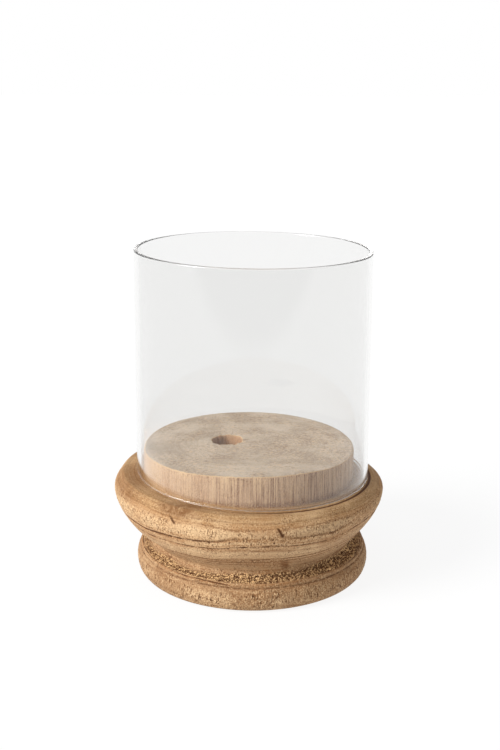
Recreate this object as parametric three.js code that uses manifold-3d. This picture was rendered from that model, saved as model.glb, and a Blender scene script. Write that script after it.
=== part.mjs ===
// A free-standing hurricane candle holder. A base turned from one piece of log has a plinth for
// the candle and a ledge around it, and a loose glass cylinder stands on the ledge.
// Units are millimetres and +Z is up. The origin is on the table, at the middle of the base.

import * as THREE from 'three';
import { mergeVertices } from 'three/addons/utils/BufferGeometryUtils.js';
import Module from 'manifold-3d';

// Glass cylinder
const glassOuterRadius = 75;
const glassWall = 2.5;
const glassHeight = 146;
const glassEdgeRound = 0.9;

// Felt pads
const padRadius = 9;
const padThickness = 1.5;
const padCircleRadius = 56;
const padCount = 4;

// Turned base, with heights measured from its underside
const footEdgeRadius = 72.9;
const footTop = { radius: 74, height: 13.6 };
const incisedLine = { radius: 72.9, height: 14.3 };
const beadFoot = { radius: 73.1, height: 14.9 };
const beadTop = { radius: 71, height: 17.3 };
const neck = { radius: 65, height: 21.2 };
const bowlFoot = { radius: 76.3, height: 33.8 };
const collar = { radius: 87.3, height: 54.8 };
const lipEdge = { radius: 84.7, height: 60 };
const ledge = { radius: 80.8, height: 64 };
const plinth = { radius: 68, height: 81.6 };
const plinthEdgeRound = 1.2;

// Blind socket in the plinth's top, beside the middle of the log
const socket = { x: -14.4, y: 6.6, mouthRadius: 10, floorRadius: 8.6, depth: 14 };
const socketFloorRound = 2;

// Fineness of the round surfaces
const sidesOfBase = 72;
const sidesOfGlass = 72;
const stepsPerCurve = 5;
const stepsPerSmallCurve = 2;
const sidesOfSmallParts = 32;

const ledgeHeight = padThickness + ledge.height;

const materials = {
  wood: new THREE.MeshStandardMaterial({ color: 0xb08c64, roughness: 0.75, metalness: 0 }),
  glass: new THREE.MeshStandardMaterial({
    color: 0xf2f5f4,
    roughness: 0.03,
    metalness: 0,
    transparent: true,
    opacity: 0.3,
  }),
  felt: new THREE.MeshStandardMaterial({ color: 0x6b5a48, roughness: 1, metalness: 0 }),
};

// A body turned about +Z from a path of radius and height.
function turned(path, sides, steps) {
  const geometry = new THREE.LatheGeometry(path.getPoints(steps), sides);
  return geometry.rotateX(Math.PI / 2);
}

const wasm = await Module();
wasm.setup();

function toManifold(geometry) {
  const bare = geometry.clone();
  bare.deleteAttribute('normal');
  bare.deleteAttribute('uv');
  const merged = mergeVertices(bare, 1e-4);
  return new wasm.Manifold(new wasm.Mesh({
    numProp: 3,
    vertProperties: new Float32Array(merged.attributes.position.array),
    triVerts: new Uint32Array(merged.index.array),
  }));
}

function toGeometry(manifold) {
  const mesh = manifold.getMesh();
  const geometry = new THREE.BufferGeometry();
  geometry.setAttribute('position', new THREE.BufferAttribute(mesh.vertProperties, 3));
  geometry.setIndex(new THREE.BufferAttribute(mesh.triVerts, 1));
  geometry.computeVertexNormals();
  return geometry;
}

// The outline runs from the middle of the underside, up the outside, to the middle of the top.
function baseOutline() {
  const path = new THREE.Path();
  path.moveTo(0, 0);
  path.lineTo(footEdgeRadius, 0);
  // The foot swells and draws in again below the incised line.
  path.bezierCurveTo(75.3, 2.2, 76.7, 8.3, footTop.radius, footTop.height);
  path.lineTo(incisedLine.radius, incisedLine.height);
  path.lineTo(beadFoot.radius, beadFoot.height);
  path.quadraticCurveTo(73.4, 16.6, beadTop.radius, beadTop.height);
  // The groove under the bowl
  path.bezierCurveTo(67.6, 18.2, 64.8, 19.2, neck.radius, neck.height);
  path.bezierCurveTo(65.2, 24, 72.5, 29.2, bowlFoot.radius, bowlFoot.height);
  // The bowl flares to the collar, and the lip slopes back up to the ledge.
  path.bezierCurveTo(80.3, 38.6, 86.6, 46.7, collar.radius, collar.height);
  path.quadraticCurveTo(87.4, 57.2, lipEdge.radius, lipEdge.height);
  path.quadraticCurveTo(82, 63.8, ledge.radius, ledge.height);
  path.lineTo(plinth.radius, ledge.height);
  path.lineTo(plinth.radius, plinth.height - plinthEdgeRound);
  path.quadraticCurveTo(
    plinth.radius, plinth.height, plinth.radius - plinthEdgeRound, plinth.height,
  );
  path.lineTo(0, plinth.height);
  return path;
}

// The cutter stands past the plinth's top, so the cut is open there.
function socketCutter() {
  const floor = plinth.height - socket.depth;
  const above = 2;
  const flare = (socket.mouthRadius - socket.floorRadius) / socket.depth;
  const path = new THREE.Path();
  path.moveTo(0, floor);
  path.lineTo(socket.floorRadius - socketFloorRound, floor);
  path.quadraticCurveTo(
    socket.floorRadius, floor, socket.floorRadius + flare * socketFloorRound, floor + socketFloorRound,
  );
  path.lineTo(socket.mouthRadius + flare * above, plinth.height + above);
  path.lineTo(0, plinth.height + above);
  return turned(path, sidesOfSmallParts, stepsPerSmallCurve).translate(socket.x, socket.y, 0);
}

function turnedBase() {
  const body = toManifold(turned(baseOutline(), sidesOfBase, stepsPerCurve));
  const cutter = toManifold(socketCutter());
  const mesh = new THREE.Mesh(toGeometry(body.subtract(cutter)), materials.wood);
  mesh.name = 'turned_base';
  mesh.position.z = padThickness;
  return mesh;
}

// The wall's section is a tall rectangle with round corners, closed on itself.
function glassCylinder() {
  const inner = glassOuterRadius - glassWall;
  const outer = glassOuterRadius;
  const round = glassEdgeRound;
  const path = new THREE.Path();
  path.moveTo(inner + round, 0);
  path.lineTo(outer - round, 0);
  path.absarc(outer - round, round, round, -Math.PI / 2, 0, false);
  path.absarc(outer - round, glassHeight - round, round, 0, Math.PI / 2, false);
  path.absarc(inner + round, glassHeight - round, round, Math.PI / 2, Math.PI, false);
  path.absarc(inner + round, round, round, Math.PI, 1.5 * Math.PI, false);
  const mesh = new THREE.Mesh(turned(path, sidesOfGlass, stepsPerSmallCurve), materials.glass);
  mesh.name = 'glass_cylinder';
  mesh.position.z = ledgeHeight;
  return mesh;
}

function feltPad(number) {
  const geometry = new THREE.CylinderGeometry(padRadius, padRadius, padThickness, sidesOfSmallParts);
  geometry.rotateX(Math.PI / 2);
  const angle = (2 * Math.PI * (number - 0.5)) / padCount;
  const mesh = new THREE.Mesh(geometry, materials.felt);
  mesh.name = `felt_pad_${number}`;
  mesh.position.set(
    padCircleRadius * Math.cos(angle), padCircleRadius * Math.sin(angle), padThickness / 2,
  );
  return mesh;
}

const holder = new THREE.Group();
holder.add(turnedBase());
holder.add(glassCylinder());
for (let number = 1; number <= padCount; number += 1) {
  holder.add(feltPad(number));
}

export default holder;
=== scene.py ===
"""A hurricane candle holder: a base turned from one piece of log, and a loose glass cylinder.

Sizes of the wood are in millimetres, and its heights are measured from its underside. Everything
else is in metres.
"""

import math
from types import SimpleNamespace

import bpy
from mathutils import Euler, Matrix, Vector, noise


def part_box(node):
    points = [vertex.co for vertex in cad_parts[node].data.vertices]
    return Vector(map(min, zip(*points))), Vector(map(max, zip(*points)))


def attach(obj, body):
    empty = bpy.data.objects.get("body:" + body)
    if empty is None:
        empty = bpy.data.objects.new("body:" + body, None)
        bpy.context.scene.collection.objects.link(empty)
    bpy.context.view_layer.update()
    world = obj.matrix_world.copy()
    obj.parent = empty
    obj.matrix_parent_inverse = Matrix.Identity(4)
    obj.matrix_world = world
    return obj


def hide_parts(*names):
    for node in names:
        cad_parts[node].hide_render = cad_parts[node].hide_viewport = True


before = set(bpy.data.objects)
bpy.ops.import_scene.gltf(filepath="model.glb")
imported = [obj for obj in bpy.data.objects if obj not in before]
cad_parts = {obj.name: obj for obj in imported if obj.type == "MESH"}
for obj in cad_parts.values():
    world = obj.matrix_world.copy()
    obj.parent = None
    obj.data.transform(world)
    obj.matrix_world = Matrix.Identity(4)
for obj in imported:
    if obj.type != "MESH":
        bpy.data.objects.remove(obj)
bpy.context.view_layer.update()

MM = 0.001

# The frame's places, in metres, and the glass's radius in millimetres
BASE_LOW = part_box("turned_base")[0]
GLASS_LOW, GLASS_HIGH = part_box("glass_cylinder")
GLASS_RADIUS = GLASS_HIGH.x / MM

# Outline of the base, as (radius, height)
FOOT_EDGE = (72.9, 0.0)
FOOT_SWELL = ((75.3, 2.2), (76.7, 8.3))
FOOT_TOP = (74.0, 13.6)
INCISED_LINE = (72.9, 14.3)
BEAD_FOOT = (73.1, 14.9)
BEAD_ROUND = (73.4, 16.6)
BEAD_TOP = (71.0, 17.3)
GROOVE_LOWER = ((67.6, 18.2), (64.8, 19.2))
NECK = (65.0, 21.2)
GROOVE_UPPER = ((65.2, 24.0), (72.5, 29.2))
BOWL_FOOT = (76.3, 33.8)
BOWL_FLARE = ((80.3, 38.6), (86.6, 46.7))
COLLAR = (87.3, 54.8)
COLLAR_ROUND = (87.4, 57.2)
LIP_EDGE = (84.7, 60.0)
LIP_ROUND = (82.0, 63.8)
LEDGE_EDGE = (80.8, 64.0)
PLINTH_RADIUS = 68.0
PLINTH_TOP = 81.6
PLINTH_EDGE_ROUND = 1.2

# Blind socket in the plinth's top
SOCKET_CENTRE = (-14.4, 6.6)
SOCKET_RADIUS = 10.0
SOCKET_LIP = 1.0
SOCKET_FLOOR_RADIUS = 8.6
SOCKET_FLOOR_ROUND = 2.0
SOCKET_DEPTH = 14.0

# Fineness of the base's mesh
BASE_SIDES = 576
FINE_STEP = 0.6
BODY_STEP = 0.95
PLAIN_STEP = 1.3
TOP_STEP = 2.2
HIDDEN_STEP = 8.0

# The real base has moved as it dried: above the neck it stands aside, and its right is lower
UPPER_SHIFT = -2.4
UPPER_TILT = 0.0035
UNMOVED_BELOW = 19.0
MOVED_ABOVE = 36.0

# How steeply the ledge and the foot of the glass fall to the right and to the back
FALL_TO_RIGHT = 0.026
FALL_TO_BACK = 0.012

# The plinth's top stands a little high at its front. The rise grows from one distance in front of
# the axis to the other, and fades between the other two distances to either side of its middle.
FRONT_RISE = 1.8
FRONT_MIDDLE = 10.0
FRONT_RISES = (22.0, 64.0)
FRONT_FADES = (14.0, 62.0)

# The log that the base is turned from
PITH = (0.8, -0.5)
PITH_LEAN = 0.006
RING_START = 1.7
RING_WIDTH = 2.55
RING_TURN = 1.3
RING_TURN_START = -3.63

# Lines that the tool cut level around the base, as (height, half width, strength)
TURNING_MARKS = ((14.3, 0.55, 0.8), (60.7, 0.45, 0.4), (57.6, 0.35, 0.3), (47.4, 0.3, 0.4))

# Relief of the wood. Nothing on the ledge stands higher than UNDER_GLASS.
BROAD_RELIEF = 0.2
FINE_RELIEF = 0.1
RING_DEPTH = 0.2
RING_HALF = 0.6
TORN_RELIEF = 1.05
CRACK_DEPTH = 0.5
CRACK_HALF = 0.9
FAR_FROM_CRACK = 4.0
MOUTH_RELIEF = 0.8
EDGE_CHIPS = 0.5
UNDER_GLASS = -0.02

# Heights between which the grain is torn, or cut rougher or smoother than elsewhere
GROOVE_TORN_FROM = 17.6
GROOVE_TORN_TO = 19.3
COLLAR_TORN = (50.0, 57.0)
FOOT_TORN = (1.5, 12.0)
COLLAR_ROUGH = (49.0, 57.0)
FOOT_ROUGH = (1.0, 10.5)
LIP_SMOOTH = (58.0, 64.0)

# Cracks, from end to end, and stains, as (centre, half size, strength)
CRACKS = (
    ((17.2, -85.0, 58.4), (20.4, -84.9, 52.5)),
    ((-47.9, -70.5, 60.8), (-44.1, -75.4, 56.9)),
    ((-33.0, 80.5, 57.5), (-29.0, 82.0, 50.5)),
    ((84.5, 20.0, 56.0), (85.0, 16.0, 49.5)),
)
STAINS = (
    ((-43.0, -71.5, 62.6), (22.0, 15.0, 3.8), 0.9),
    ((-80.0, -28.0, 61.0), (26.0, 38.0, 6.0), 0.7),
    ((-62.0, -42.0, 7.0), (34.0, 38.0, 14.0), 0.45),
    ((20.5, -66.0, 27.0), (3.2, 9.0, 9.0), 1.0),
    ((58.0, 60.0, 61.5), (11.0, 11.0, 3.0), 1.0),
    ((-80.0, 18.0, 44.0), (9.0, 6.0, 4.0), 1.0),
    ((-2.6, 6.4, 81.6), (2.4, 1.9, 1.5), 1.0),
)


def bezier(points, t):
    """The point at t on a Bezier curve of any degree."""
    while len(points) > 1:
        points = [
            tuple(a + (b - a) * t for a, b in zip(p, q)) for p, q in zip(points, points[1:])
        ]
    return points[0]


def sampled(points, step):
    """Points along a Bezier curve about step apart, without its first one."""
    length = sum(math.dist(p, q) for p, q in zip(points, points[1:]))
    count = max(1, round(length / step))
    return [bezier(points, (i + 1) / count) for i in range(count)]


def base_rows():
    """(radius, height, share of the way to the socket's centre) for each row of the base."""
    plinth_foot = (PLINTH_RADIUS, LEDGE_EDGE[1])
    plinth_side = (PLINTH_RADIUS, PLINTH_TOP - PLINTH_EDGE_ROUND)
    plinth_corner = (PLINTH_RADIUS, PLINTH_TOP)
    plinth_edge = (PLINTH_RADIUS - PLINTH_EDGE_ROUND, PLINTH_TOP)
    outside = [
        ([(0.0, 0.0), FOOT_EDGE], HIDDEN_STEP),
        ([FOOT_EDGE, *FOOT_SWELL, FOOT_TOP], BODY_STEP),
        ([FOOT_TOP, INCISED_LINE], FINE_STEP),
        ([INCISED_LINE, BEAD_FOOT], FINE_STEP),
        ([BEAD_FOOT, BEAD_ROUND, BEAD_TOP], FINE_STEP),
        ([BEAD_TOP, *GROOVE_LOWER, NECK], FINE_STEP),
        ([NECK, *GROOVE_UPPER, BOWL_FOOT], FINE_STEP),
        ([BOWL_FOOT, *BOWL_FLARE, COLLAR], BODY_STEP),
        ([COLLAR, COLLAR_ROUND, LIP_EDGE], BODY_STEP),
        ([LIP_EDGE, LIP_ROUND, LEDGE_EDGE], BODY_STEP),
        ([LEDGE_EDGE, plinth_foot], TOP_STEP),
        ([plinth_foot, plinth_side], PLAIN_STEP),
        ([plinth_side, plinth_corner, plinth_edge], FINE_STEP),
    ]
    rim = SOCKET_RADIUS + SOCKET_LIP
    floor = PLINTH_TOP - SOCKET_DEPTH
    wall_top = (SOCKET_RADIUS - 0.1, PLINTH_TOP - SOCKET_LIP)
    wall_foot = (SOCKET_FLOOR_RADIUS, floor + SOCKET_FLOOR_ROUND)
    floor_edge = (SOCKET_FLOOR_RADIUS - SOCKET_FLOOR_ROUND, floor)
    socket = [
        ([(rim, PLINTH_TOP), (SOCKET_RADIUS, PLINTH_TOP), wall_top], FINE_STEP),
        ([wall_top, wall_foot], PLAIN_STEP),
        ([wall_foot, (SOCKET_FLOOR_RADIUS, floor), floor_edge], PLAIN_STEP),
        ([floor_edge, (PLAIN_STEP, floor)], PLAIN_STEP),
    ]
    rows = [(*point, 0.0) for points, step in outside for point in sampled(points, step)]
    top = sampled([(plinth_edge[0], 0.0), (rim, 1.0)], TOP_STEP)
    rows += [(radius, PLINTH_TOP, share) for radius, share in top]
    rows += [(*point, 1.0) for points, step in socket for point in sampled(points, step)]
    return rows


def clipped(value):
    """The value held between 0 and 1."""
    return max(0.0, min(1.0, value))


def eased(value, low, high):
    """0 at low, 1 at high, and smooth between them."""
    t = clipped((value - low) / (high - low))
    return t * t * (3 - 2 * t)


def band(value, low, high, soft):
    """1 between low and high, easing to 0 over soft on either side."""
    return eased(value, low - soft, low) * (1 - eased(value, high, high + soft))


def log_radius(x, y, z):
    """Distance from the log's pith, warped as real rings are."""
    from_pith = math.hypot(x - PITH[0] - PITH_LEAN * z, y - PITH[1])
    broad = noise.noise((x / 48, y / 48, z / 70))
    small = noise.noise((x / 15, y / 15, z / 40))
    return from_pith + 1.5 * broad + 0.5 * small


def ring_valley(grown):
    """How deep a place is in the soft wood at a ring's edge, from 0 to 1."""
    turns = (grown - RING_START) / RING_WIDTH
    nearest = round(turns)
    strength = 0.55 + 0.45 * math.sin(RING_TURN * nearest + RING_TURN_START)
    return strength * max(0.0, 1 - abs(turns - nearest) * RING_WIDTH / RING_HALF)


def torn_grain(x, y, z, radius):
    """How torn the grain is, from 0 to 1: most in the groove, less on the collar and the foot."""
    turn = math.atan2(y, x)
    patches = 0.8 + 0.7 * noise.noise((2.4 * math.cos(turn), 2.4 * math.sin(turn), z / 16))
    ragged = noise.noise((3 * math.cos(turn), 3 * math.sin(turn), 7.0))
    top = max(GROOVE_TORN_FROM + 0.2, GROOVE_TORN_TO + 1.7 * math.cos(turn) + 2.4 * ragged)
    groove = band(z, GROOVE_TORN_FROM, top, 1.2) if radius < BEAD_TOP[0] + 3 else 0.0
    collar = 0.3 * band(z, *COLLAR_TORN, 2.5) if radius > BOWL_FOOT[0] else 0.0
    foot = 0.22 * band(z, *FOOT_TORN, 1.5)
    return clipped(max(groove, collar, foot) * patches)


def roughness_at(x, y, z):
    """How rough the cut fibres are, from 0 to 1, in patches."""
    patches = 0.85 + 0.7 * noise.noise((x / 9, y / 9, z / 5))
    rough = 0.65
    rough += 0.3 * band(z, *COLLAR_ROUGH, 1.5)
    rough += 0.3 * band(z, *FOOT_ROUGH, 2.0)
    rough -= 0.15 * band(z, *LIP_SMOOTH, 1.0)
    if z > LEDGE_EDGE[1] + 0.5:
        rough = 0.3
    return clipped(rough * patches)


def distance_to_crack(place):
    """Distance to the nearest crack's middle line, no more than FAR_FROM_CRACK."""
    nearest = FAR_FROM_CRACK
    for start, end in CRACKS:
        along = Vector(end) - Vector(start)
        share = clipped((place - Vector(start)).dot(along) / along.length_squared)
        nearest = min(nearest, (place - Vector(start) - along * share).length)
    return nearest


def stain_at(place):
    """How stained a place is, from 0 to 1."""
    deepest = 0.0
    for centre, half, strength in STAINS:
        away = math.sqrt(sum(((p - c) / h) ** 2 for p, c, h in zip(place, centre, half)))
        deepest = max(deepest, strength * (1 - eased(away, 0.35, 1.15)))
    return deepest


def surface_at(x, y, z, radius, slope):
    """The surface's height above the plain outline, and the values that the material reads."""
    grown = log_radius(x, y, z)
    torn = torn_grain(x, y, z, radius)
    coarse = noise.noise((x / 1.1, y / 1.1, z / 1.8))
    fine = noise.noise((x / 0.8, y / 0.8, z / 1.2))
    chips = coarse + 0.5 * fine
    ringed = eased(abs(slope), 0.12, 0.4) * (0.3 if z < BEAD_FOOT[1] or z > COLLAR[1] else 1.0)
    place = Vector((x, y, z))
    crack = distance_to_crack(place)
    from_socket = math.hypot(x - SOCKET_CENTRE[0], y - SOCKET_CENTRE[1])
    at_mouth = band(z, PLINTH_TOP - 3, PLINTH_TOP + 1, 2) * band(from_socket, 9.0, 11.5, 1.0)
    mouth = noise.noise((x / 2.8, y / 2.8, z / 4)) + 0.35 * coarse + 0.1
    raised = BROAD_RELIEF * noise.noise((x / 28, y / 28, z / 28))
    raised -= RING_DEPTH * ringed * ring_valley(grown)
    raised += FINE_RELIEF * fine
    raised += TORN_RELIEF * torn * chips
    raised -= CRACK_DEPTH * max(0.0, 1 - crack / CRACK_HALF)
    raised -= MOUTH_RELIEF * at_mouth * mouth
    if z > PLINTH_TOP - 1.5 and radius > PLINTH_RADIUS - 2:
        raised -= EDGE_CHIPS * max(0.0, coarse)
    if z == LEDGE_EDGE[1]:
        raised = min(raised, UNDER_GLASS)
    in_socket = eased(z, PLINTH_TOP - SOCKET_DEPTH - 2, PLINTH_TOP - SOCKET_DEPTH + 1)
    read = {
        "level": z,
        "log_radius": grown,
        "ringed": ringed,
        "rough": roughness_at(x, y, z),
        "torn": torn,
        "chips": chips,
        "crack": crack,
        "stain": stain_at(place),
        "socket": (1 - eased(from_socket, SOCKET_RADIUS - 0.4, SOCKET_RADIUS + 0.4)) * in_socket,
    }
    return raised, read


def ledge_fall(x, y, radius):
    """How far the ledge lies under its place at the front of a glass of that radius."""
    return FALL_TO_RIGHT * x + FALL_TO_BACK * (y + radius)


def moved(x, y, z):
    """Where the drying wood has taken a place."""
    share = eased(z, UNMOVED_BELOW, MOVED_ABOVE)
    up_plinth = clipped((z - LEDGE_EDGE[1]) / (PLINTH_TOP - LEDGE_EDGE[1]))
    at_front = eased(-y, *FRONT_RISES) * (1 - eased(abs(x - FRONT_MIDDLE), *FRONT_FADES))
    sloping = eased(z, COLLAR[1], LEDGE_EDGE[1]) * (1 - up_plinth)
    rise = FRONT_RISE * at_front * up_plinth
    rise -= share * UPPER_TILT * (x + LEDGE_EDGE[0])
    rise -= sloping * ledge_fall(x, y, GLASS_RADIUS)
    return x + share * UPPER_SHIFT, y, z + rise


def base_points(rows):
    """The base's points in metres, and the material's values for each point, by name."""
    places, values = [], {}
    for index, (radius, height, share) in enumerate(rows):
        before = rows[max(0, index - 1)]
        after = rows[min(len(rows) - 1, index + 1)]
        along = (after[0] - before[0], after[1] - before[1])
        length = math.hypot(*along)
        out, up = along[1] / length, -along[0] / length
        for side in range(BASE_SIDES):
            turn = 2 * math.pi * side / BASE_SIDES
            c, s = math.cos(turn), math.sin(turn)
            x = share * SOCKET_CENTRE[0] + radius * c
            y = share * SOCKET_CENTRE[1] + radius * s
            raised, at_point = surface_at(x, y, height, radius, up)
            if height <= 0:
                raised = 0.0
            place = moved(x + raised * out * c, y + raised * out * s, height + raised * up)
            places.append((place[0] * MM, place[1] * MM, BASE_LOW.z + place[2] * MM))
            for name, value in at_point.items():
                values.setdefault(name, []).append(value)
    return places, values


def lofted(name, rings, closed=False):
    """A smooth mesh through rings of points. An open one is capped at both ends."""
    count, sides = len(rings), len(rings[0])
    points = [point for ring in rings for point in ring]
    faces = []
    for row in range(count if closed else count - 1):
        low = row * sides
        high = (row + 1) % count * sides
        for side in range(sides):
            after = (side + 1) % sides
            faces.append((low + side, low + after, high + after, high + side))
    caps = [] if closed else [(rings[0], 0, True), (rings[-1], (count - 1) * sides, False)]
    for ring, start, turned_over in caps:
        middle = len(points)
        points.append(tuple(sum(values) / sides for values in zip(*ring)))
        for side in range(sides):
            pair = (start + side, start + (side + 1) % sides)
            faces.append((*(reversed(pair) if turned_over else pair), middle))
    mesh = bpy.data.meshes.new(name)
    mesh.from_pydata(points, [], faces)
    mesh.polygons.foreach_set("use_smooth", [True] * len(mesh.polygons))
    piece = bpy.data.objects.new(name, mesh)
    bpy.context.scene.collection.objects.link(piece)
    return piece


def finished(piece, body, node, material):
    """Gives a piece its material and slot, and puts it on its body in its CAD node's place."""
    piece.data.materials.append(material)
    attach(piece, body)
    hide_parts(node)


# Node materials


def new_material(name):
    """A material with no nodes."""
    material = bpy.data.materials.new(name)
    material.use_nodes = True
    material.node_tree.nodes.clear()
    return material


def add(tree, kind, inputs=None, **settings):
    """A node with its settings made and its inputs linked or set."""
    made = tree.nodes.new(kind)
    for key, value in settings.items():
        setattr(made, key, value)
    for key, value in (inputs or {}).items():
        if isinstance(value, bpy.types.NodeSocket):
            tree.links.new(value, made.inputs[key])
        else:
            made.inputs[key].default_value = value
    return made


def math_node(tree, operation, first, second=0.0):
    """The result of one operation on one or two values."""
    return add(tree, "ShaderNodeMath", {0: first, 1: second}, operation=operation).outputs[0]


def product(tree, *factors):
    """All of the factors multiplied."""
    result = factors[0]
    for factor in factors[1:]:
        result = math_node(tree, "MULTIPLY", result, factor)
    return result


def remapped(tree, value, low, high, to_low=0.0, to_high=1.0):
    """to_low at low, to_high at high, and smooth between them."""
    made = add(
        tree,
        "ShaderNodeMapRange",
        {"Value": value, "From Min": low, "From Max": high, "To Min": to_low, "To Max": to_high},
        interpolation_type="SMOOTHSTEP",
    )
    return made.outputs["Result"]


def mixed(tree, share, first, second):
    """The first colour, with a share of the second."""
    made = add(tree, "ShaderNodeMix", data_type="RGBA")
    for index, value in ((0, share), (6, first), (7, second)):
        if isinstance(value, bpy.types.NodeSocket):
            tree.links.new(value, made.inputs[index])
        elif index == 0:
            made.inputs[index].default_value = value
        else:
            made.inputs[index].default_value = (*value, 1.0)
    return made.outputs[2]


def stretched(tree, vector, scale):
    """A vector with each of its parts scaled."""
    return add(tree, "ShaderNodeVectorMath", {0: vector, 1: scale}, operation="MULTIPLY").outputs[0]


def noise_of(tree, vector, scale, detail=3.0, roughness=0.55):
    """Noise over places, from 0 to 1."""
    inputs = {"Vector": vector, "Scale": scale, "Detail": detail, "Roughness": roughness}
    return add(tree, "ShaderNodeTexNoise", inputs).outputs["Fac"]


def attribute(tree, name):
    """A value that the mesh carries at each of its points."""
    return add(tree, "ShaderNodeAttribute", attribute_name=name).outputs["Fac"]


# Linear colours of the wood
HEARTWOOD = (0.315, 0.183, 0.091)
SAPWOOD = (0.475, 0.298, 0.158)
OUTER_WOOD = (0.55, 0.362, 0.20)
LIP_WOOD = (0.375, 0.22, 0.098)
WARM_WOOD = (0.35, 0.168, 0.064)
DARK_WOOD = (0.165, 0.066, 0.020)
LINE_BROWN = (0.080, 0.028, 0.007)
CREAM = (0.70, 0.485, 0.275)
STRAW = (0.76, 0.49, 0.24)
SIDE_WOOD = (0.52, 0.345, 0.21)
GREY_WOOD = (0.44, 0.355, 0.268)
PALE_GREY_WOOD = (0.66, 0.56, 0.445)

# Where the wood's colours change, from none to all of the change: first distances from the pith,
# then heights
INTO_SAPWOOD = (73.5, 79.0)
INTO_WARM_WOOD = (79.0, 83.0)
INTO_OUTER_WOOD = (85.6, 86.6)
OVER_NECK = (20.0, 23.5)
ONTO_LIP = (57.0, 59.7)
WARM_BAND_FOOT = (56.3, 57.3)
WARM_BAND_TOP = (60.7, 59.3)
LEDGE_FOOT = (62.5, 63.3)
LEDGE_TOP = (65.3, 64.7)
ABOVE_LEDGE = (63.3, 64.1)
ONTO_PLINTH = (64.5, 65.7)
DOWN_PLINTH = (68.5, 64.5)
ONTO_TOP = (74.5, 78.5)
ONTO_TOP_EDGE = (79.5, 80.5)

# Half the width, in metres, of the painted shadow line on the ledge at the glass's foot
GLASS_SHADOW_HALF = 1.15 * MM


def ring_masks(tree, grown, places):
    """(dark outer part of each ring, thin broken line at each ring's edge)."""
    turns = math_node(tree, "DIVIDE", math_node(tree, "SUBTRACT", grown, RING_START), RING_WIDTH)
    number = math_node(tree, "ROUND", turns)
    angle = math_node(tree, "ADD", math_node(tree, "MULTIPLY", number, RING_TURN), RING_TURN_START)
    strength = remapped(tree, math_node(tree, "SINE", angle), -1.1, 1.0, 0.1, 1.0)
    phase = math_node(tree, "SUBTRACT", turns, number)
    late_wood = product(tree, remapped(tree, phase, -0.5, -0.08), strength)
    line = remapped(tree, math_node(tree, "ABSOLUTE", phase), 0.04, 0.15, 1.0, 0.0)
    gaps = noise_of(tree, places, 240.0, 4.0, 0.65)
    broken = math_node(tree, "ADD", remapped(tree, gaps, 0.42, 0.56), product(tree, strength, 0.4))
    return late_wood, math_node(tree, "MINIMUM", product(tree, line, broken, strength), 1.0)


def level_streaks(tree, grown, places):
    """Fine lines that follow the rings, from 0 to 1."""
    outward = add(tree, "ShaderNodeCombineXYZ", {"X": grown}).outputs[0]
    around = stretched(tree, places, (30, 30, 30))
    place = add(tree, "ShaderNodeVectorMath", {0: outward, 1: around}, operation="ADD").outputs[0]
    return noise_of(tree, place, 1.1, 5.0, 0.75)


def turning_marks(tree, height, places):
    """Broken dark lines that the tool cut level around the base, from 0 to 1."""
    gaps = noise_of(tree, places, 300.0, 4.0, 0.65)
    deepest = 0.0
    for level, half, strength in TURNING_MARKS:
        away = math_node(tree, "ABSOLUTE", math_node(tree, "SUBTRACT", height, level))
        mark = remapped(tree, away, 0.3 * half, half, strength, 0.0)
        deepest = math_node(tree, "MAXIMUM", mark, deepest)
    return product(tree, deepest, remapped(tree, gaps, 0.42, 0.58, 0.15, 1.0))


def glass_foot_shadow(tree, places, across):
    """A painted shadow line on the ledge around the glass's foot, from 0 to 1, most at its right."""
    level_place = stretched(tree, places, (1, 1, 0))
    from_axis = add(tree, "ShaderNodeVectorMath", {0: level_place}, operation="LENGTH")
    away = math_node(tree, "SUBTRACT", from_axis.outputs["Value"], GLASS_HIGH.x + GLASS_SHADOW_HALF)
    line = remapped(tree, math_node(tree, "ABSOLUTE", away), 0.5 * GLASS_SHADOW_HALF, GLASS_SHADOW_HALF, 1.0, 0.0)
    return product(tree, line, remapped(tree, across, -0.02, 0.03, 0.15, 1.0))


def wood_values(tree):
    """The places, grain and masks that the layers of the wood's colour are made from."""
    wood = SimpleNamespace()
    wood.places = add(tree, "ShaderNodeTexCoord").outputs["Object"]
    wood.across = add(tree, "ShaderNodeSeparateXYZ", {0: wood.places}).outputs["X"]
    normal = add(tree, "ShaderNodeNewGeometry").outputs["Normal"]
    wood.facing_up = add(tree, "ShaderNodeSeparateXYZ", {0: normal}).outputs["Z"]
    for name in ("level", "log_radius", "ringed", "rough", "torn", "chips", "crack", "stain", "socket"):
        setattr(wood, name, attribute(tree, name))

    sideways = remapped(tree, wood.facing_up, 0.75, 0.3)
    upward = remapped(tree, wood.facing_up, 0.75, 0.97)
    wood.on_side = product(tree, remapped(tree, wood.level, *ABOVE_LEDGE), sideways)
    wood.on_top = product(tree, upward, remapped(tree, wood.level, *ONTO_TOP))
    wood.off_plinth = math_node(tree, "SUBTRACT", 1.0, remapped(tree, wood.level, *ONTO_PLINTH))

    wood.late_wood, line = ring_masks(tree, wood.log_radius, wood.places)
    wood.line = product(tree, line, wood.ringed, wood.off_plinth)
    wood.streak = level_streaks(tree, wood.log_radius, wood.places)
    wood.speck = noise_of(tree, wood.places, 1150.0, 3.0, 0.7)
    wood.fibre = noise_of(tree, stretched(tree, wood.places, (1150, 1150, 26)), 1.0, 3.0, 0.65)
    pore = noise_of(tree, stretched(tree, wood.places, (1150, 1150, 330)), 1.0, 2.0)
    wood.pores = product(tree, remapped(tree, pore, 0.56, 0.66), wood.rough)
    return wood


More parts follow.
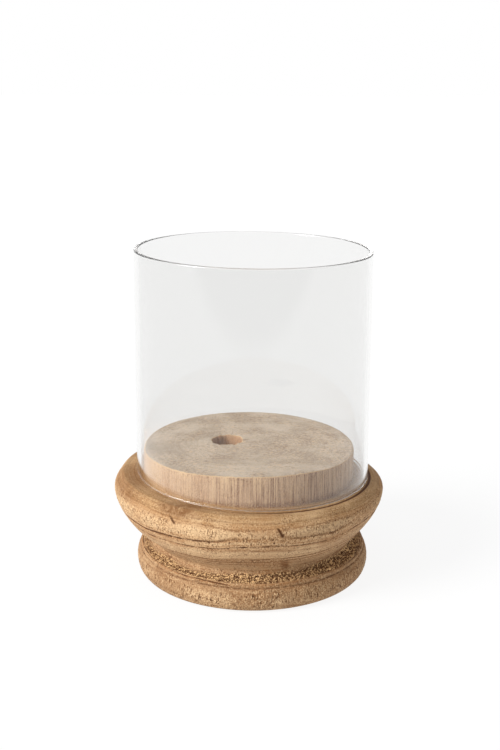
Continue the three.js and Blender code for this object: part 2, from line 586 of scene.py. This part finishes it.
def wood_tone(tree, wood):
    """Paler sapwood outside, a darker lip, and broad patches that run with the grain."""
    over_neck = remapped(tree, wood.level, *OVER_NECK, 0.0, 0.5)
    sapwood = math_node(tree, "MAXIMUM", remapped(tree, wood.log_radius, *INTO_SAPWOOD), over_neck)
    colour = mixed(tree, sapwood, HEARTWOOD, SAPWOOD)
    warm = remapped(tree, wood.log_radius, *INTO_WARM_WOOD)
    colour = mixed(tree, product(tree, warm, 0.4), colour, WARM_WOOD)
    colour = mixed(tree, remapped(tree, wood.log_radius, *INTO_OUTER_WOOD), colour, OUTER_WOOD)
    colour = mixed(tree, remapped(tree, wood.level, *ONTO_LIP, 0.0, 0.85), colour, LIP_WOOD)
    over_band_foot = remapped(tree, wood.level, *WARM_BAND_FOOT)
    under_band_top = remapped(tree, wood.level, *WARM_BAND_TOP)
    colour = mixed(tree, product(tree, over_band_foot, under_band_top, 0.3), colour, WARM_WOOD)
    colour = mixed(tree, wood.on_side, colour, SIDE_WOOD)
    patches = noise_of(tree, stretched(tree, wood.places, (1, 1, 0.6)), 42.0, 4.0, 0.6)
    colour = mixed(tree, remapped(tree, patches, 0.5, 0.7, 0.0, 0.45), colour, WARM_WOOD)
    return mixed(tree, remapped(tree, patches, 0.48, 0.34, 0.0, 0.4), colour, CREAM)


def rings_over(tree, wood, colour):
    """The darker late wood of each ring, and finer lines that follow the rings."""
    late_wood = product(tree, wood.late_wood, wood.ringed, wood.off_plinth, 0.6)
    colour = mixed(tree, late_wood, colour, WARM_WOOD)
    streaked = product(tree, math_node(tree, "MAXIMUM", wood.ringed, 0.45), wood.off_plinth)
    dark = product(tree, remapped(tree, wood.streak, 0.5, 0.68), streaked, 0.8)
    colour = mixed(tree, dark, colour, DARK_WOOD)
    pale = product(tree, remapped(tree, wood.streak, 0.5, 0.34), streaked, 0.6)
    return mixed(tree, pale, colour, CREAM)


def specks_over(tree, wood, colour):
    """Specks of cut fibres, and pores drawn out upright."""
    dark = product(tree, remapped(tree, wood.speck, 0.52, 0.66), wood.rough)
    colour = mixed(tree, dark, colour, DARK_WOOD)
    pale = product(tree, remapped(tree, wood.speck, 0.5, 0.36), wood.rough, 0.85)
    colour = mixed(tree, pale, colour, CREAM)
    return mixed(tree, wood.pores, colour, LINE_BROWN)


def fibres_over(tree, wood, colour):
    """Upright fibres of the plinth's side, with painted shade on the side: more towards its right, and
    most in the crease where it meets the ledge.
    """
    # Share of fibres and of painted shade on the side: 0.35 at its left, 1 from its middle to its
    # right, away from the key light.
    fibre_and_shade_share = product(tree, wood.on_side, remapped(tree, wood.across, -0.05, 0.0, 0.35, 1.0))
    broken = remapped(tree, wood.speck, 0.3, 0.6, 0.4, 1.0)
    dark = product(tree, remapped(tree, wood.fibre, 0.47, 0.62), broken, fibre_and_shade_share, 0.85)
    colour = mixed(tree, dark, colour, DARK_WOOD)
    pale = product(tree, remapped(tree, wood.fibre, 0.48, 0.34), fibre_and_shade_share, 0.4)
    colour = mixed(tree, pale, colour, CREAM)
    blotched = remapped(tree, wood.speck, 0.35, 0.6, 0.1, 0.8)
    # Painted shade in the crease at the foot of the side, where it meets the ledge, most towards the
    # right.
    foot = product(tree, remapped(tree, wood.level, *DOWN_PLINTH), fibre_and_shade_share, blotched)
    return mixed(tree, foot, colour, DARK_WOOD)


def lines_over(tree, wood, colour):
    """Thin lines at the rings' edges, and lines that the tool cut."""
    colour = mixed(tree, product(tree, wood.line, 0.95), colour, LINE_BROWN)
    marks = turning_marks(tree, wood.level, wood.places)
    return mixed(tree, product(tree, marks, 0.85), colour, LINE_BROWN)


def torn_grain_over(tree, wood, colour):
    """Dark pits among bright broken fibres: the torn grain's own colours, laid out by depth, which
    paints shade in the pits and a highlight on the raised chips.
    """
    sliver = noise_of(tree, stretched(tree, wood.places, (1500, 1500, 700)), 1.0, 2.0, 0.6)
    # Deep pits get painted shade and raised chips a painted highlight, along with the torn grain's own
    # colour.
    depth = math_node(tree, "ADD", wood.chips, remapped(tree, sliver, 0.3, 0.7, -0.6, 0.6))
    torn_and_shaded_colour = mixed(tree, remapped(tree, depth, -0.15, 0.5), LINE_BROWN, STRAW)
    return mixed(tree, remapped(tree, wood.torn, 0.05, 0.8, 0.0, 0.9), colour, torn_and_shaded_colour)


def sanded_top_over(tree, wood, colour):
    """The plinth's top is greyer, in soft patches with fine dots, and its rounded edge has a painted
    pale highlight.
    """
    clouds = noise_of(tree, wood.places, 48.0, 4.0, 0.55)
    top_colour = mixed(tree, remapped(tree, clouds, 0.34, 0.66), GREY_WOOD, PALE_GREY_WOOD)
    grain = noise_of(tree, wood.places, 470.0, 5.0, 0.85)
    grainy = remapped(tree, noise_of(tree, wood.places, 65.0, 3.0), 0.36, 0.6, 0.35, 1.0)
    dots = product(tree, remapped(tree, grain, 0.5, 0.58), grainy, 0.55)
    arcs = product(tree, remapped(tree, wood.streak, 0.5, 0.62), 0.3)
    top_colour = mixed(tree, math_node(tree, "MAXIMUM", dots, arcs), top_colour, DARK_WOOD)
    pale_dots = product(tree, remapped(tree, grain, 0.5, 0.42), grainy, 0.6)
    top_colour = mixed(tree, pale_dots, top_colour, CREAM)
    colour = mixed(tree, product(tree, wood.on_top, 0.88), colour, top_colour)
    # Painted highlight all round the top's rounded edge.
    past_side = remapped(tree, wood.facing_up, 0.35, 0.7)
    before_top = remapped(tree, wood.facing_up, 0.97, 0.85)
    at_edge = remapped(tree, wood.level, *ONTO_TOP_EDGE)
    return mixed(tree, product(tree, past_side, before_top, at_edge, 0.6), colour, CREAM)


def stains_over(tree, wood, colour):
    """Stains, and the cracks."""
    blotch = remapped(tree, noise_of(tree, wood.places, 260.0), 0.3, 0.6, 0.4, 0.9)
    colour = mixed(tree, product(tree, wood.stain, blotch), colour, DARK_WOOD)
    return mixed(tree, remapped(tree, wood.crack, 0.5, 1.05, 1.0, 0.0), colour, LINE_BROWN)


def painted_shade_over(tree, wood, colour):
    """Painted shade: the inside of the socket darkened as shade in the recess, and the shadow line on
    the ledge at the glass's foot.
    """
    # Painted shade in the socket: its inside is made warmer and mottled darker.
    colour = mixed(tree, product(tree, wood.socket, 0.5), colour, WARM_WOOD)
    mottled = remapped(tree, noise_of(tree, wood.places, 330.0, 3.0), 0.4, 0.6)
    colour = mixed(tree, product(tree, wood.socket, mottled, 0.25), colour, DARK_WOOD)
    over_foot = remapped(tree, wood.level, *LEDGE_FOOT)
    under_top = remapped(tree, wood.level, *LEDGE_TOP)
    # Painted shadow under the glass's foot, strongest on the right where the ledge falls away from the
    # glass.
    shadow_line = product(tree, glass_foot_shadow(tree, wood.places, wood.across), over_foot, under_top)
    return mixed(tree, shadow_line, colour, LINE_BROWN)


def wood_bump(tree, wood):
    """Fine relief from the pores, the ring lines and the fibres of the plinth's side."""
    rise = noise_of(tree, wood.places, 1500.0, 2.0)
    for sunk in (
        product(tree, wood.pores, 0.8),
        product(tree, wood.line, 0.8),
        product(tree, wood.fibre, wood.on_side),
    ):
        rise = math_node(tree, "SUBTRACT", rise, sunk)
    inputs = {"Height": rise, "Strength": 0.7, "Distance": 0.0004}
    return add(tree, "ShaderNodeBump", inputs).outputs["Normal"]


def wood_material():
    """Turned and sanded wood. Its colour is a tone with layers over it."""
    material = new_material("turned_wood")
    tree = material.node_tree
    wood = wood_values(tree)
    colour = wood_tone(tree, wood)
    for layer in (
        rings_over,
        specks_over,
        fibres_over,
        lines_over,
        torn_grain_over,
        sanded_top_over,
        stains_over,
        painted_shade_over,
    ):
        colour = layer(tree, wood, colour)
    shader = add(
        tree,
        "ShaderNodeBsdfPrincipled",
        {
            "Base Color": colour,
            "Roughness": remapped(tree, wood.streak, 0.3, 0.7, 0.68, 0.85),
            "Specular IOR Level": 0.2,
            "Normal": wood_bump(tree, wood),
        },
    )
    add(tree, "ShaderNodeOutputMaterial", {"Surface": shader.outputs[0]})
    return material


WHITE = (1.0, 1.0, 1.0)
GLASS_GREY = (0.91, 0.91, 0.905)
GLASS_SHADE = (0.95, 0.95, 0.95, 1.0)

FELT_DARK = (0.075, 0.055, 0.04)
FELT_BROWN = (0.17, 0.13, 0.095)
FELT_PALE = (0.24, 0.19, 0.14)


def glass_material():
    """Faintly grey glass with ground edges, that lets lamps light what is behind it."""
    material = new_material("clear_glass")
    tree = material.node_tree
    ground = attribute(tree, "ground")
    glass = add(
        tree,
        "ShaderNodeBsdfPrincipled",
        {
            "Base Color": mixed(tree, ground, GLASS_GREY, WHITE),
            "Roughness": product(tree, ground, 0.45),
            "IOR": 1.5,
            "Transmission Weight": 1.0,
        },
    )
    passing = add(tree, "ShaderNodeBsdfTransparent", {"Color": GLASS_SHADE})
    path = add(tree, "ShaderNodeLightPath")
    unseen = math_node(tree, "MAXIMUM", path.outputs["Is Shadow Ray"], path.outputs["Is Diffuse Ray"])
    both = add(tree, "ShaderNodeMixShader", {0: unseen, 1: glass.outputs[0], 2: passing.outputs[0]})
    add(tree, "ShaderNodeOutputMaterial", {"Surface": both.outputs[0]})
    return material


def felt_material():
    """Brown felt with a fuzzy surface."""
    material = new_material("felt")
    tree = material.node_tree
    places = add(tree, "ShaderNodeTexCoord").outputs["Object"]
    fuzz = noise_of(tree, places, 2600.0, 4.0, 0.7)
    mottle = noise_of(tree, places, 320.0, 3.0)
    colour = mixed(tree, remapped(tree, fuzz, 0.35, 0.65), FELT_DARK, FELT_BROWN)
    colour = mixed(tree, remapped(tree, mottle, 0.4, 0.7, 0.0, 0.4), colour, FELT_PALE)
    bump = add(tree, "ShaderNodeBump", {"Height": fuzz, "Strength": 0.8, "Distance": 0.0003})
    shader = add(
        tree,
        "ShaderNodeBsdfPrincipled",
        {
            "Base Color": colour,
            "Roughness": 1.0,
            "Sheen Weight": 0.5,
            "Normal": bump.outputs["Normal"],
        },
    )
    add(tree, "ShaderNodeOutputMaterial", {"Surface": shader.outputs[0]})
    return material


# Pieces

GLASS_SIDES = 256
GLASS_EDGE_ROUND = 0.9 * MM
GLASS_WALL = 2.5 * MM
ROUND_STEPS = 6
# Each flat side of the glass has a row this far past the rounds, which keeps its shading flat
FLAT_FROM = 0.5 * MM
# The hand-cut rim is this much lower on its right than on its left
RIM_DROP = 1.5 * MM

PAD_COUNT = 4
PAD_SIDES = 120
PAD_STEP = 0.5 * MM
PAD_FUZZ = 0.12 * MM
PAD_FUZZ_SIZE = 0.8 * MM


def make_base():
    """The turned base. Caps close the middle of its underside and of its socket's floor."""
    places, values = base_points(base_rows())
    rings = [places[start:start + BASE_SIDES] for start in range(0, len(places), BASE_SIDES)]
    piece = lofted("wood_base", rings)
    for name, numbers in values.items():
        made = piece.data.attributes.new(name, "FLOAT", "POINT")
        caps = [numbers[0], numbers[-1]]
        made.data.foreach_set("value", numbers + caps)
    finished(piece, "base", "turned_base", wood_material())


def glass_section():
    """(radius, height) round the wall's section: two flat sides, with rounds between them."""
    outer = GLASS_HIGH.x
    inner = outer - GLASS_WALL
    low = GLASS_LOW.z + GLASS_EDGE_ROUND
    high = GLASS_HIGH.z - GLASS_EDGE_ROUND
    section = []
    for middle_radius, middle_height, start in (
        (outer - GLASS_EDGE_ROUND, low, -90),
        (outer - GLASS_EDGE_ROUND, high, 0),
        (inner + GLASS_EDGE_ROUND, high, 90),
        (inner + GLASS_EDGE_ROUND, low, 180),
    ):
        for step in range(ROUND_STEPS + 1):
            angle = math.radians(start + 90 * step / ROUND_STEPS)
            radius = middle_radius + GLASS_EDGE_ROUND * math.cos(angle)
            section.append((radius, middle_height + GLASS_EDGE_ROUND * math.sin(angle)))
    flat_low, flat_high = low + FLAT_FROM, high - FLAT_FROM
    per_round = ROUND_STEPS + 1
    return [
        *section[:per_round],
        (outer, flat_low),
        (outer, flat_high),
        *section[per_round:3 * per_round],
        (inner, flat_high),
        (inner, flat_low),
        *section[3 * per_round:],
    ]


def make_glass():
    """A tube with round edges, whose foot follows the ledge."""
    rings, ground = [], []
    for radius, height in glass_section():
        away = min(height - GLASS_LOW.z, GLASS_HIGH.z - height)
        ground += [clipped(1 - away / GLASS_EDGE_ROUND)] * GLASS_SIDES
        share = (height - GLASS_LOW.z) / (GLASS_HIGH.z - GLASS_LOW.z)
        ring = []
        for side in range(GLASS_SIDES):
            turn = 2 * math.pi * side / GLASS_SIDES
            x, y = radius * math.cos(turn), radius * math.sin(turn)
            foot_drop = ledge_fall(x, y, GLASS_HIGH.x)
            rim_drop = RIM_DROP * (1 + math.cos(turn)) / 2
            ring.append((x, y, height - (1 - share) * foot_drop - share * rim_drop))
        rings.append(ring)
    piece = lofted("glass_tube", rings, closed=True)
    piece.data.attributes.new("ground", "FLOAT", "POINT").data.foreach_set("value", ground)
    finished(piece, "glass", "glass_cylinder", glass_material())


def make_pads():
    """Felt discs whose edges and faces are a little fuzzy."""
    material = felt_material()
    for number in range(1, PAD_COUNT + 1):
        node = f"felt_pad_{number}"
        low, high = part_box(node)
        middle = (low + high) / 2
        radius = (high.x - low.x) / 2
        outline = sampled([(PAD_STEP, low.z), (radius, low.z)], PAD_STEP)
        outline += sampled([(radius, low.z), (radius, high.z)], PAD_STEP)
        outline += sampled([(radius, high.z), (PAD_STEP, high.z)], PAD_STEP)
        rings = []
        for reach, height in outline:
            ring = []
            for side in range(PAD_SIDES):
                turn = 2 * math.pi * side / PAD_SIDES
                x = middle.x + reach * math.cos(turn)
                y = middle.y + reach * math.sin(turn)
                fuzz = noise.noise((x / PAD_FUZZ_SIZE, y / PAD_FUZZ_SIZE, height / PAD_FUZZ_SIZE))
                into = PAD_FUZZ * (1 + fuzz)
                inset = into if reach > radius - PAD_STEP / 2 else 0.0
                lift = into / 2 if height < middle.z else -into / 2
                place = (x - inset * math.cos(turn), y - inset * math.sin(turn), height + lift)
                ring.append(place)
            rings.append(ring)
        finished(lofted(f"felt_disc_{number}", rings), "base", node, material)


# Camera, light and floor. Angles are in degrees.

CAMERA_BACK = 0.702
CAMERA_HEIGHT = 0.321
CAMERA_PITCH = 11.67
CAMERA_ROLL = 0.25
CAMERA_ASIDE = -0.0021
LENS = 54.27
SHIFT_UP = -0.1

KEY_TOWARDS = (-0.80, -0.42, 0.44)
KEY_STRENGTH = 4.2
KEY_SOFTNESS = 28.0
# How bright the white surround is as a light, when it looks 1
AMBIENT = 0.56

# How often light may turn inside the glass wall
GLASS_BOUNCES = 40

# Half the width of the floor
FLOOR_REACH = 12.0
FLOOR_COLOUR = (0.12, 0.12, 0.12, 1.0)
FLOOR_GLOW = 0.875
ROOM_COLOUR = (0.03, 0.03, 0.03, 1.0)
# The floor's brightness fades to the room's between these distances in front of the holder's axis
ROOM_STARTS = 0.6
ROOM_FULL = 0.85


def make_camera():
    """A camera a little above the rim, pitched down at the holder."""
    data = bpy.data.cameras.new("camera")
    data.lens = LENS
    data.sensor_width = 36.0
    data.shift_y = SHIFT_UP
    camera = bpy.data.objects.new("camera", data)
    camera.location = (CAMERA_ASIDE, -CAMERA_BACK, BASE_LOW.z + CAMERA_HEIGHT)
    level = Euler((math.radians(90 - CAMERA_PITCH), 0, 0)).to_matrix()
    roll = Euler((0, 0, math.radians(CAMERA_ROLL))).to_matrix()
    camera.rotation_euler = (level @ roll).to_euler()
    bpy.context.scene.collection.objects.link(camera)
    bpy.context.scene.camera = camera


def make_key_light():
    """A soft sun from the left front."""
    data = bpy.data.lights.new("key", "SUN")
    data.energy = KEY_STRENGTH
    data.angle = math.radians(KEY_SOFTNESS)
    light = bpy.data.objects.new("key", data)
    light.rotation_euler = Vector(KEY_TOWARDS).to_track_quat("Z", "Y").to_euler()
    bpy.context.scene.collection.objects.link(light)


def flat_sheet(name, near, far, height, material):
    """A level rectangle of the stage, from y = near to y = far."""
    corners = [(-FLOOR_REACH, near), (FLOOR_REACH, near), (FLOOR_REACH, far), (-FLOOR_REACH, far)]
    mesh = bpy.data.meshes.new(name)
    mesh.from_pydata([(x, y, height) for x, y in corners], [], [(0, 1, 2, 3)])
    mesh.materials.append(material)
    sheet = bpy.data.objects.new(name, mesh)
    bpy.context.scene.collection.objects.link(sheet)
    return sheet


def floor_material():
    """Nearly white by its own glow, so that shadows on it stay faint."""
    material = new_material("floor")
    tree = material.node_tree
    pale = {
        "Base Color": FLOOR_COLOUR,
        "Roughness": 1.0,
        "Specular IOR Level": 0.0,
        "Emission Color": (*WHITE, 1.0),
        "Emission Strength": FLOOR_GLOW,
    }
    shader = add(tree, "ShaderNodeBsdfPrincipled", pale)
    add(tree, "ShaderNodeOutputMaterial", {"Surface": shader.outputs[0]})
    return material


def room_material():
    """As bright as the floor where it starts, and dark further off."""
    material = new_material("room")
    tree = material.node_tree
    places = add(tree, "ShaderNodeTexCoord").outputs["Object"]
    away = add(tree, "ShaderNodeSeparateXYZ", {0: places}).outputs["Y"]
    dark = {
        "Base Color": ROOM_COLOUR,
        "Roughness": 1.0,
        "Emission Color": (*WHITE, 1.0),
        "Emission Strength": remapped(tree, away, -ROOM_STARTS, -ROOM_FULL, 1.0, 0.0),
    }
    shader = add(tree, "ShaderNodeBsdfPrincipled", dark)
    add(tree, "ShaderNodeOutputMaterial", {"Surface": shader.outputs[0]})
    return material


def make_stage():
    """A white floor, and a dark room in front of the holder that only shows as a reflection."""
    flat_sheet("floor", -FLOOR_REACH, FLOOR_REACH, 0.0, floor_material())
    room = flat_sheet("room", -FLOOR_REACH, -ROOM_STARTS, MM, room_material())
    room.visible_camera = False
    room.visible_diffuse = False
    room.visible_transmission = False
    room.visible_shadow = False


def make_world():
    """White to look at, and dimmer as a light than it looks."""
    world = bpy.data.worlds.new("world")
    world.use_nodes = True
    tree = world.node_tree
    tree.nodes.clear()
    path = add(tree, "ShaderNodeLightPath").outputs
    seen = math_node(tree, "MAXIMUM", path["Is Camera Ray"], path["Is Transmission Ray"])
    seen = math_node(tree, "MAXIMUM", seen, path["Is Glossy Ray"])
    strength = remapped(tree, seen, 0.0, 1.0, AMBIENT, 1.0)
    inputs = {"Color": (*WHITE, 1.0), "Strength": strength}
    background = add(tree, "ShaderNodeBackground", inputs)
    add(tree, "ShaderNodeOutputWorld", {"Surface": background.outputs[0]})
    bpy.context.scene.world = world


def allow_deep_paths():
    """Light runs many times round inside the glass wall before it gets out."""
    cycles = bpy.context.scene.cycles
    cycles.max_bounces = GLASS_BOUNCES
    cycles.glossy_bounces = GLASS_BOUNCES
    cycles.transmission_bounces = GLASS_BOUNCES


bpy.context.scene.view_settings.view_transform = "Standard"
allow_deep_paths()
make_camera()
make_key_light()
make_world()
make_stage()
make_base()
make_glass()
make_pads()
